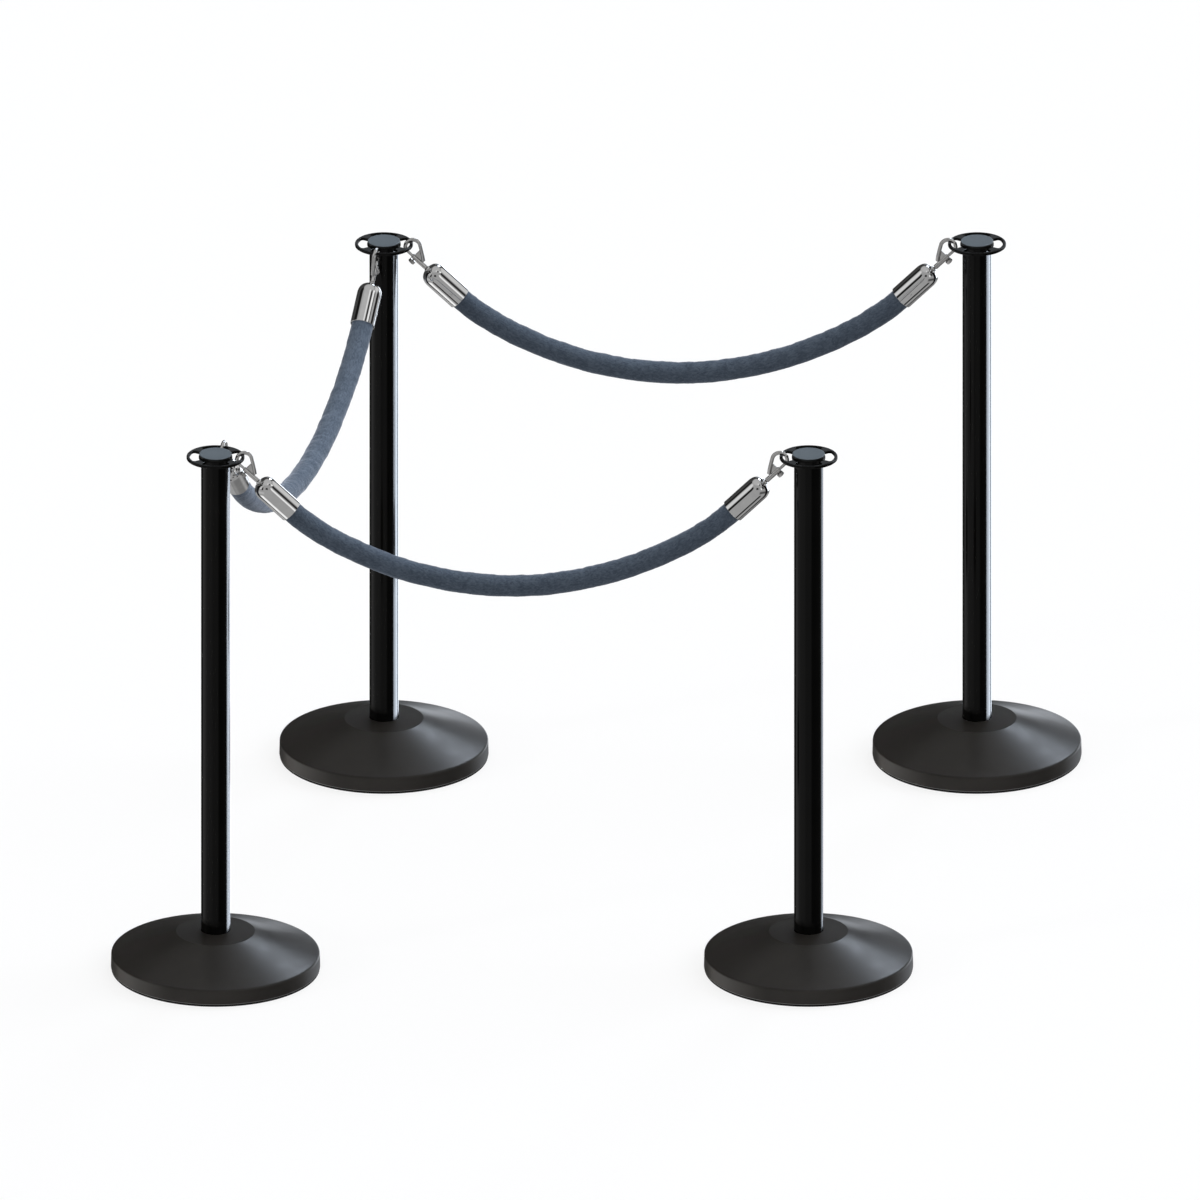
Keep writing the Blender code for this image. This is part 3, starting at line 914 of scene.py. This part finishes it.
def latch_mesh():
    """The bolt, with its ribbed thumb button on a stem."""
    bolt_outline = rounded(
        [
            (0, LATCH_END),
            (LATCH_RADIUS, LATCH_END, 0.0009),
            (LATCH_RADIUS, LATCH_START, 0.0003),
            (0, LATCH_START),
        ]
    )
    bolt = lathe("bolt", bolt_outline, 36, closed=False)
    near = -THUMB_NEAR
    far = -THUMB_FAR
    dished = far - 0.0004
    edge = 0.0009
    stem_start = 0.001
    rib_depth = 0.00035
    outline = rounded(
        [
            (0, dished),
            (THUMB_RADIUS * 0.7, dished, 0.0006),
            (THUMB_RADIUS * 0.8, far, 0.0004),
            (THUMB_RADIUS, far, edge),
            (THUMB_RADIUS, near, edge),
            (STEM_RADIUS, near, 0.0004),
            (STEM_RADIUS, stem_start),
            (0, stem_start),
        ]
    )

    def ribbed(radius, height, angle):
        on_rim = radius > THUMB_RADIUS * 0.985 and near < height < far
        return radius - rib_depth * (0.5 + 0.5 * math.cos(THUMB_RIBS * angle)) if on_rim else radius

    button = lathe("button", outline, THUMB_RIBS * 8, closed=False, radius_at=ribbed)
    sideways = Matrix.Translation(UP * THUMB_Z) @ Matrix.Rotation(math.radians(-90), 4, "Y")
    return combined("latch", bolt, [("UNION", moved(button, sideways))])


def spring_mesh():
    """A coil with a flat dead part at each end."""
    low = BORE_START + GAP + SPRING_WIRE
    high = LATCH_START - GAP - SPRING_WIRE
    flat_share = 0.12
    count = 160
    line = []
    for i in range(count + 1):
        share = i / count
        a = 2 * math.pi * (SPRING_TURNS + 2) * share
        climb = min(1.0, max(0.0, (share - flat_share) / (1 - 2 * flat_share)))
        height = low + (high - low) * climb
        line.append(Vector((SPRING_RADIUS * math.cos(a), SPRING_RADIUS * math.sin(a), height)))
    sides = 12
    rings = []
    for i, point in enumerate(line):
        out = Vector((point.x, point.y, 0)).normalized()
        rise = out.cross(direction_at(line, i)).normalized()
        for k in range(sides):
            a = 2 * math.pi * k / sides
            rings.append(point + (out * math.cos(a) + rise * math.sin(a)) * SPRING_WIRE)
    return mesh_of("spring", rings, tube_faces(len(line), sides))


def screw_mesh():
    """A small domed screw that pins the cap to the rope, along +Z, its head at z = 0."""
    head = 0.0008
    under = -0.0002
    shank = SCREW_RADIUS * 0.5
    outline = [(0, head)]
    for degrees in range(15, 91, 15):
        a = math.radians(degrees)
        outline.append((SCREW_RADIUS * math.sin(a), head * math.cos(a)))
    outline += [(SCREW_RADIUS, under), (shank, under), (shank, -0.005), (0, -0.006)]
    body = lathe("screw", outline, 40, closed=False)
    long = SCREW_RADIUS
    wide = 0.0003
    corners = [(-long, -wide), (long, -wide), (long, wide), (-long, wide)]
    slot = moved(plate("screw_slot", [corners], 0.001), Matrix.Translation(UP * head))
    return combined("cap_screw", body, [("DIFFERENCE", slot)])


def end_matrix(post, outward):
    """The rope end's frame at a post, for a rope that leaves it along outward."""
    low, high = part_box(f"{post}_ring_head")
    ring_radius = (high.x - low.x) / 2
    band_x = EYE_CENTRE[0] + BEARING_OFFSET * math.sin(BEARING)
    band_z = EYE_CENTRE[1] + BEARING_OFFSET * math.cos(BEARING)
    axis = UP * math.sin(HANG) - outward * math.cos(HANG)
    across = UP * math.cos(HANG) + outward * math.sin(HANG)
    band = post_place(post) + outward * (ring_radius + SLOT_OUTER) / 2
    band += UP * (high.z - RING_THICKNESS / 2)
    matrix = Matrix((across, axis.cross(across), axis)).transposed().to_4x4()
    matrix.translation = band - axis * band_z - across * band_x
    return matrix


# Rope


def rope_line(first, second):
    """The rope's middle line, finely divided: straight in each cap, and between the mouths a
    catenary that steepens near them to meet the caps' slope."""
    mouth_a = first @ (UP * -CAP_LENGTH)
    mouth_b = second @ (UP * -CAP_LENGTH)
    middle = (mouth_a + mouth_b) / 2
    outward = (mouth_b - mouth_a).normalized()
    reach = (mouth_b - mouth_a).length / 2
    catenary = SAG_SCALE * (math.cosh(reach / SAG_SCALE) - 1)
    lift = mouth_a.z - ROPE_LOWEST - catenary
    power = (math.tan(HANG) - math.sinh(reach / SAG_SCALE)) * reach / lift
    line = [first @ (UP * -ROPE_INSET)]
    divisions = 400
    for i in range(divisions + 1):
        x = reach * (2 * i / divisions - 1)
        height = SAG_SCALE * (math.cosh(x / SAG_SCALE) - 1) + lift * (abs(x) / reach) ** power
        point = middle + outward * x
        point.z = ROPE_LOWEST + height
        line.append(point)
    line.append(second @ (UP * -ROPE_INSET))
    return line


def spaced(line, step):
    """The line again with points a step apart, and their distances along it."""
    points = np.array(line)
    along = np.concatenate([[0], np.cumsum(np.linalg.norm(np.diff(points, axis=0), axis=1))])
    count = int(along[-1] / step) + 1
    at = np.linspace(0, along[-1], count)
    even = [Vector(np.interp(a, along, points[:, k]) for k in range(3)) for a in at]
    return even, at


def velvet_radius(along, angle, length, seed):
    """The velvet's radius: soft folds on the upper, inner side of the bend, dents of the crushed pile
    all round, and no relief where the rope goes into its caps."""
    where = Vector((along, ROPE_RADIUS * math.cos(angle), ROPE_RADIUS * math.sin(angle)))
    upper = 0.5 + 0.5 * math.cos(angle)
    drift = Vector((seed, 0, 0))
    skew = where + drift + Vector((FOLD_SKEW * where.z, 0, 0))
    swell = noise.noise((where + drift) * LUMP_SCALE) * LUMP_DEPTH
    swell += noise.noise((where + drift * 2) * DENT_SCALE) * DENT_DEPTH
    for lengthways, roundways, depth, more_above in (FOLDS, RIPPLES):
        wave = Vector((skew.x * lengthways, skew.y * roundways, skew.z * roundways))
        swell += noise.noise(wave) * (depth + more_above * upper)
    to_mouth = min(along, length - along) - (CAP_LENGTH - ROPE_INSET)
    free = min(1.0, max(0.0, to_mouth / SMOOTH_REACH))
    free = free * free * (3 - 2 * free)
    return ROPE_RADIUS - VELVET_EASE + swell * free


def velvet_mesh(name, line, at, across, seed):
    """The velvet sleeve: a closed dense tube with its folds, and its pattern attribute."""
    length = at[-1]
    points = []
    straight = []
    for i, point in enumerate(line):
        rise = direction_at(line, i).cross(across).normalized()
        if rise.z < 0:
            rise = -rise
        for k in range(ROPE_SIDES):
            a = 2 * math.pi * k / ROPE_SIDES
            radius = velvet_radius(at[i], a, length, seed)
            points.append(point + (rise * math.cos(a) + across * math.sin(a)) * radius)
            straight.append((at[i] + seed, ROPE_RADIUS * math.cos(a), ROPE_RADIUS * math.sin(a)))
    mesh = mesh_of(name, points, tube_faces(len(line), ROPE_SIDES), sharp=80)
    pattern = mesh.attributes.new("straight", "FLOAT_VECTOR", "POINT")
    pattern.data.foreach_set("vector", np.array(straight, np.float32).ravel())
    return mesh


def core_mesh(name, line, at, across):
    """Three strands of soft wadding laid together, inside the velvet."""
    groove = 0.14  # of the radius, between two strands
    points = []
    for i, point in enumerate(line):
        rise = direction_at(line, i).cross(across).normalized()
        for k in range(CORE_SIDES):
            a = 2 * math.pi * k / CORE_SIDES
            strand = abs(math.cos(1.5 * (a - 2 * math.pi * at[i] / STRAND_LAY)))
            radius = CORE_RADIUS * (1 - groove + groove * strand)
            points.append(point + (rise * math.cos(a) + across * math.sin(a)) * radius)
    return mesh_of(name, points, tube_faces(len(line), CORE_SIDES), sharp=70)


def build_ropes():
    cap = flattened(end_cap_mesh())
    hook = flattened(hook_mesh())
    latch = flattened(latch_mesh())
    spring = spring_mesh()
    screw = flattened(screw_mesh())
    for number, (rope, (first, second, screw_side)) in enumerate(ROPES.items()):
        run = post_place(second[1]) - post_place(first[1])
        frames = []
        for (end, post), outward in ((first, run.normalized()), (second, -run.normalized())):
            at_end = end_matrix(post, outward)
            frames.append(at_end)
            name = f"{rope}_{end}"
            piece(f"{name}_end_cap_piece", cap, "polished_chrome", rope, f"{name}_end_cap", at_end)
            for part, mesh in (("hook", hook), ("latch", latch)):
                node = f"{name}_{part}"
                # hooks and latches take the darker copy of the chrome, as painted shade
                piece(f"{node}_piece", mesh, "polished_chrome", node, node, at_end, shaded_copy="hook_chrome_shaded")
            node = f"{name}_spring"
            own = spring.copy()  # a mesh of its own for each coil
            coil = piece(f"{node}_piece", own, "spring_steel", f"{name}_hook", node, at_end)
            bpy.context.view_layer.update()
            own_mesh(coil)
            towards = screw_side * (1 if outward.dot(run) > 0 else -1)
            on_side = Matrix.Translation((0, towards * (CAP_RADIUS - SCREW_SINK), SCREW_Z))
            on_side = on_side @ Matrix.Rotation(math.radians(-90 * towards), 4, "X")
            on_side = on_side @ Matrix.Rotation(SCREW_TURN, 4, "Z")
            piece(f"{name}_cap_screw", screw, "polished_chrome", rope, None, at_end @ on_side)
        route = rope_line(*frames)
        across = UP.cross(run).normalized()
        fine, at = spaced(route, ROPE_STEP)
        velvet = piece(
            f"{rope}_velvet",
            velvet_mesh(f"{rope}_velvet", fine, at, across, seed=1.7 * number),
            "grey_velvet",
            rope,
            f"{rope}_velvet_sleeve",
        )
        coarse, coarse_at = spaced(route, CORE_STEP)
        core = piece(
            f"{rope}_core_piece",
            core_mesh(f"{rope}_core", coarse, coarse_at, across),
            "cotton_wadding",
            rope,
            f"{rope}_core",
        )


# Camera, light and floor


def build_camera():
    back = Vector((0, -math.cos(CAMERA_ELEVATION), math.sin(CAMERA_ELEVATION)))
    data = bpy.data.cameras.new("camera")
    data.type = "ORTHO"
    data.ortho_scale = VIEW_WIDTH
    data.clip_start = 0.1
    data.clip_end = CAMERA_DISTANCE * 2
    camera = bpy.data.objects.new("camera", data)
    camera.location = VIEW_CENTRE + back * CAMERA_DISTANCE
    camera.rotation_mode = "QUATERNION"
    camera.rotation_quaternion = (-back).to_track_quat("-Z", "Y")
    bpy.context.scene.collection.objects.link(camera)
    bpy.context.scene.camera = camera


# The studio's panels and flags, each painted over those before it: (bearing from +Y towards +X,
# elevation, half width, half height, softness, brightness, tint), the first five in degrees
NEUTRAL = (1.0, 1.0, 1.0)
ICY = (0.88, 0.98, 1.12)
WARM = (1.06, 1.0, 0.94)
COOL = (0.93, 0.99, 1.07)
PANELS = [
    (180, 75, 180, 22, 14, 0.50, NEUTRAL),  # ceiling
    (-99, -60, 38, 14, 9, 1.05, NEUTRAL),  # bright floor at the left
    (95, -62, 60, 16, 12, 0.34, NEUTRAL),  # duller floor at the right
    (30, -56, 34, 14, 10, 0.20, NEUTRAL),  # and duller still behind
    (-75, -22, 30, 9, 14, 0.72, NEUTRAL),  # floor further off, bright at the left
    (-128, -22, 26, 9, 14, 0.52, NEUTRAL),  # less so at the front left
    (113, -22, 44, 10, 14, 0.08, NEUTRAL),  # and dark at the right
    (143, -49, 9, 6, 4, 0.02, NEUTRAL),  # dark patch on the floor at the front right
    (0, 10, 62, 38, 12, 0.05, NEUTRAL),  # dark behind
    (33, -6, 29, 13, 7, 2.2, COOL),  # tall window behind, at the right
    (4, 22, 9, 2.5, 3, 0.6, COOL),  # narrow band behind, above it
    (24, 38, 7, 6, 4, 12.0, ICY),  # lamp behind
    (70, 28, 24, 15, 7, 0.66, NEUTRAL),  # dim panel at the right
    (115, 25, 11, 13, 4, 0.03, NEUTRAL),  # dark flags at the right
    (85, 7, 13, 10, 5, 0.02, NEUTRAL),
    (140, 15, 6, 10, 4, 0.95, NEUTRAL),  # panel at the front right
    (136, 55, 13, 6, 4, 0.04, NEUTRAL),  # dark flag over it
    (153, 65, 16, 5, 5, 0.85, NEUTRAL),  # high panels at the right
    (112, 42, 10, 6, 4, 1.0, NEUTRAL),
    (-108, 30, 15, 18, 6, 0.75, NEUTRAL),  # lamp at the left, between two dark flags
    (-72, 24, 12, 24, 4, 0.01, NEUTRAL),
    (-136, 17, 8, 13, 4, 0.01, NEUTRAL),
    (180, 20, 10, 9, 5, 0.03, NEUTRAL),  # the dark camera
]
SURROUNDINGS = 0.37
FLOOR_GREY = 0.16
FLOOR_GLOW = (0.40, 0.814)  # to the object, and to the camera

# Lamps that only light, and don't show in reflections:
# (name, bearing, elevation, width, strength, tint), angles in degrees
LAMPS = [
    ("top_lamp", 20, 75, 60, 1.2, NEUTRAL),
    ("right_lamp", 70, 30, 40, 1.7, COOL),
    ("left_lamp", -116, 17, 7, 0.5, NEUTRAL),
]

# Lamps that reach only some pieces. A mirrored one shows only as a reflection, such as the strips
# down the right sides of the tubes. (name, pieces, mirrored or not, then as above)
COVERS = [f"{post}_base_cover_piece" for post in POST_NAMES]
FRONT_LEFT_TUBE, FRONT_RIGHT_TUBE, *REAR_TUBES = [f"{post}_post_tube_piece" for post in POST_NAMES]
LINKED_LAMPS = [
    ("rear_strip", REAR_TUBES, True, 76, -22, 40, 6.2, ICY),
    ("left_strip", [FRONT_LEFT_TUBE], True, 64, -22, 26, 1.6, ICY),
    ("edge_strip", [*REAR_TUBES, FRONT_LEFT_TUBE], True, 24, -22, 52, 1.7, ICY),
    ("right_strip", [FRONT_RIGHT_TUBE], True, 42, -22, 32, 0.6, ICY),
    ("rim_left_strip", COVERS, True, -80, -22, 70, 0.66, WARM),
    ("rim_front_strip", COVERS, True, 180, -22, 80, 0.4, WARM),
    ("side_lamp", ["side_rope_velvet"], False, 150, 38, 30, 1.5, NEUTRAL),
]


def direction(bearing, elevation):
    a = math.radians(bearing)
    e = math.radians(elevation)
    return Vector((math.sin(a) * math.cos(e), math.cos(a) * math.cos(e), math.sin(e)))


def build_world():
    """A white studio to the camera. To everything else, dim surroundings with soft panels."""
    world = bpy.data.worlds.new("studio")
    bpy.context.scene.world = world
    world.use_nodes = True
    nodes = Nodes(world.node_tree)
    way = nodes.add("ShaderNodeTexCoord").outputs["Generated"]
    parts = nodes.add("ShaderNodeSeparateXYZ", {0: way}).outputs
    bearing_here = nodes.maths("ARCTAN2", parts["X"], parts["Y"])
    elevation_here = nodes.maths("ARCSINE", parts["Z"])
    light = nodes.mixed(0.0, (SURROUNDINGS,) * 3, NEUTRAL)
    for bearing, elevation, half_width, half_height, soft, brightness, tint in PANELS:
        across = nodes.maths("SUBTRACT", bearing_here, math.radians(bearing))
        across = nodes.maths("WRAP", across, math.pi, -math.pi)
        upwards = nodes.maths("SUBTRACT", elevation_here, math.radians(elevation))
        inside = 1.0
        for off, half in ((across, half_width), (upwards, half_height)):
            off = nodes.maths("ABSOLUTE", off)
            fully = math.radians(half - soft / 2)
            no_more = math.radians(half + soft / 2)
            inside = nodes.maths("MULTIPLY", nodes.ranged(off, fully, no_more, 1.0, 0.0), inside)
        light = nodes.mixed(inside, light, tuple(brightness * c for c in tint))
    seen = nodes.add("ShaderNodeBackground", {"Color": (1, 1, 1, 1), "Strength": 1.0}).outputs[0]
    lit = nodes.add("ShaderNodeBackground", {"Color": light, "Strength": 1.0}).outputs[0]
    to_camera = nodes.add("ShaderNodeLightPath").outputs["Is Camera Ray"]
    mix = nodes.add("ShaderNodeMixShader", {0: to_camera, 1: lit, 2: seen})
    nodes.add("ShaderNodeOutputWorld", {"Surface": mix.outputs[0]})


def sun(name, bearing, elevation, width, strength, tint):
    data = bpy.data.lights.new(name, "SUN")
    data.energy = strength
    data.angle = math.radians(width)
    data.color = tint
    lamp = bpy.data.objects.new(name, data)
    lamp.rotation_mode = "QUATERNION"
    lamp.rotation_quaternion = (-direction(bearing, elevation)).to_track_quat("-Z", "Y")
    bpy.context.scene.collection.objects.link(lamp)
    return lamp


def build_lamps():
    for settings in LAMPS:
        sun(*settings).visible_glossy = False


def build_linked_lamps():
    for name, pieces, mirrored, *settings in LINKED_LAMPS:
        lit = bpy.data.collections.new(f"{name}_lit")
        for lit_piece in pieces:
            lit.objects.link(bpy.data.objects[lit_piece])
        lamp = sun(name, *settings)
        lamp.visible_diffuse = not mirrored
        lamp.visible_glossy = mirrored
        lamp.light_linking.receiver_collection = lit
        lamp.light_linking.blocker_collection = lit


def build_floor():
    """A pale floor, bright by itself so that only faint shadows show on it."""
    half = 60.0
    below = -0.0002  # just under the pads, so that the two don't flicker
    corners = [(x * half, y * half, below) for x, y in ((-1, -1), (1, -1), (1, 1), (-1, 1))]
    mesh = bpy.data.meshes.new("floor")
    mesh.from_pydata(corners, [], [(0, 1, 2, 3)])
    material, nodes = new_material("pale_floor")
    to_camera = nodes.add("ShaderNodeLightPath").outputs["Is Camera Ray"]
    values = {
        "Base Color": (FLOOR_GREY, FLOOR_GREY, FLOOR_GREY, 1),
        "Roughness": 0.9,
        "Specular IOR Level": 0.0,
        "Emission Color": (1, 1, 1, 1),
        "Emission Strength": nodes.ranged(to_camera, 0, 1, *FLOOR_GLOW),
    }
    finish_material(nodes, values)
    mesh.materials.append(material)
    floor = bpy.data.objects.new("floor", mesh)
    bpy.context.scene.collection.objects.link(floor)
    floor.visible_glossy = False


bpy.context.scene.view_settings.view_transform = "Standard"
build_camera()
build_world()
build_lamps()
build_floor()
materials = make_materials()
build_posts()
build_ropes()
build_linked_lamps()
